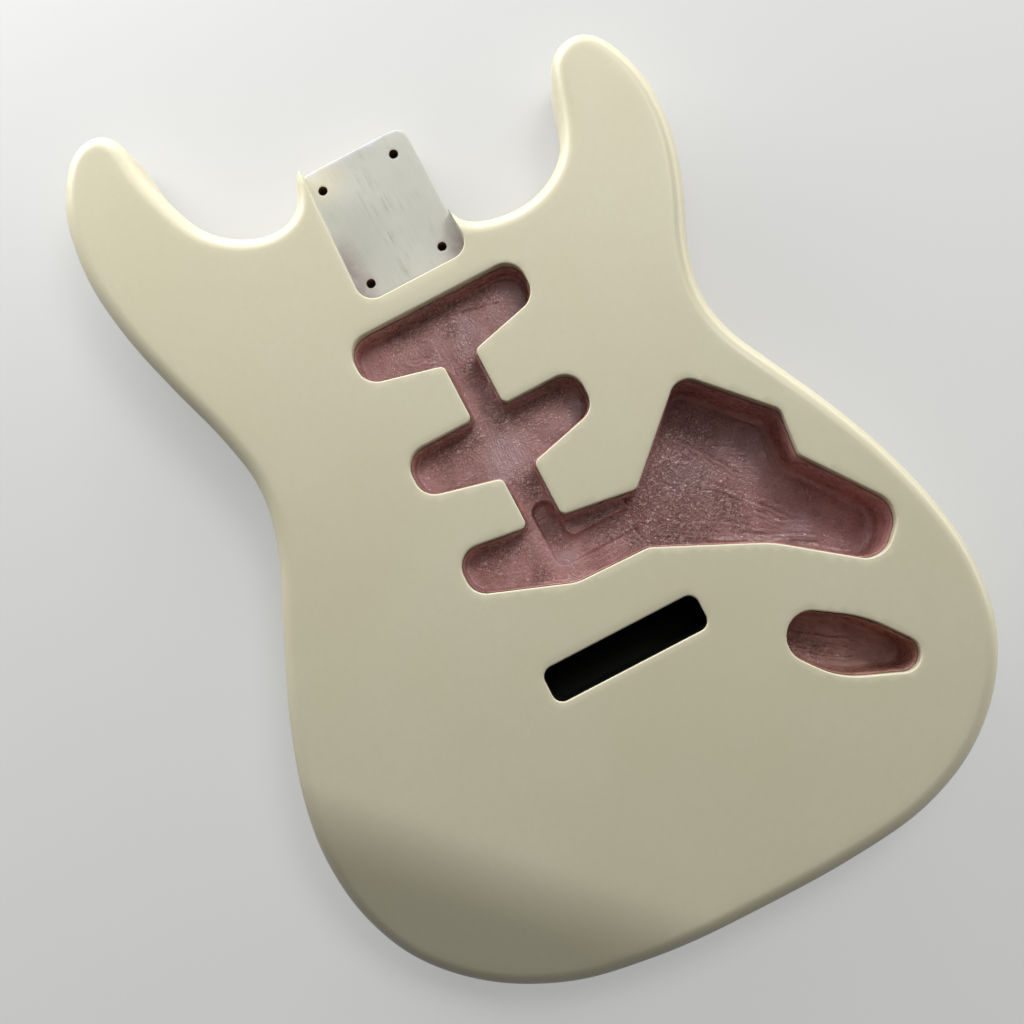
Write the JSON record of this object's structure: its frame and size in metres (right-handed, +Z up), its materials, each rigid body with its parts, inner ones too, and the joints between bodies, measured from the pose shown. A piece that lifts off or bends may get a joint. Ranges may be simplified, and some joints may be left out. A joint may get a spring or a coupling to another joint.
{
  "type": "electric guitar body",
  "caption": "Bare painted solid guitar body with horned cutaways, open neck pocket, routed pickup, control and jack cavities, tremolo slot, forearm bevel and belly scoop.",
  "frame": {"origin": "on the neck centreline, in the plane of the flat back, under the end wall of the neck pocket", "axes": "+Z up through the front face, +Y along the centreline towards the neck, +X towards the side with the control cavity"},
  "size_m": [0.3255, 0.4589, 0.0444],
  "materials": {
    "painted_wood": "glossy cream lacquer over a white primer, bare primer in the neck pocket",
    "shielding_coat": "brushed-on dull red conductive paint with brush marks and a slight gloss"
  },
  "bodies": {
    "root": {"bass_side_board": "painted_wood", "centre_board": "painted_wood", "treble_side_board": "painted_wood", "shield_coat_pickups_controls": "shielding_coat", "shield_coat_jack": "shielding_coat"}
  },
  "joints": []
}
